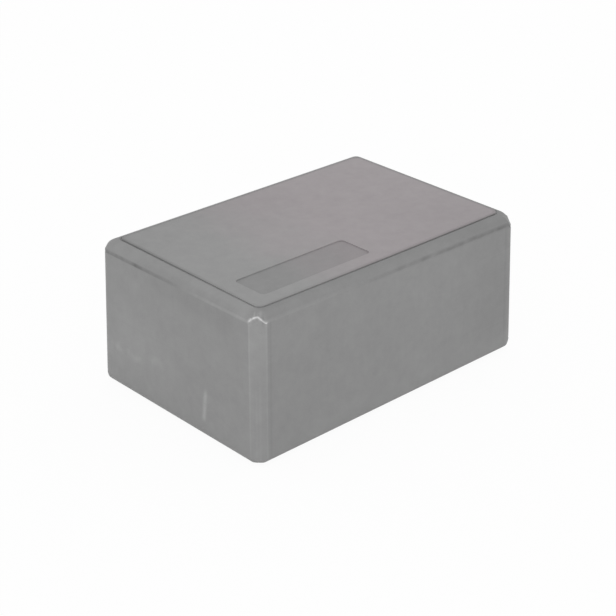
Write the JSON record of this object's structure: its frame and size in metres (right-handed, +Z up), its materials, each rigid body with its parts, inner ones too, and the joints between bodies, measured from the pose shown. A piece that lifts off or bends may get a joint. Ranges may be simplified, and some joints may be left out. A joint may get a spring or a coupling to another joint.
{
  "type": "yoga block",
  "caption": "Grey foam yoga block with rounded upright corners and routed edges that leave a fine shoulder round the top; a firm prop to hold, sit, stand or lean on.",
  "frame": {"origin": "middle of the base, at the level of the flat face that the block rests on", "axes": "+X along the length, +Y across the width, +Z up through the block's height, with the pressed field on the +Z face near the -X end and the -Y side"},
  "size_m": [0.2296, 0.1542, 0.1],
  "materials": {
    "foam": "matt closed-cell foam, mid grey, fine even cells, dry to the touch",
    "bond": "thin set glue, grey, flush with the foam"
  },
  "bodies": {
    "root": {"bottom_ply": "foam", "lower_core_ply": "foam", "upper_core_ply": "foam", "top_ply": "foam", "lower_bond_film": "bond", "middle_bond_film": "bond", "upper_bond_film": "bond"}
  },
  "joints": []
}
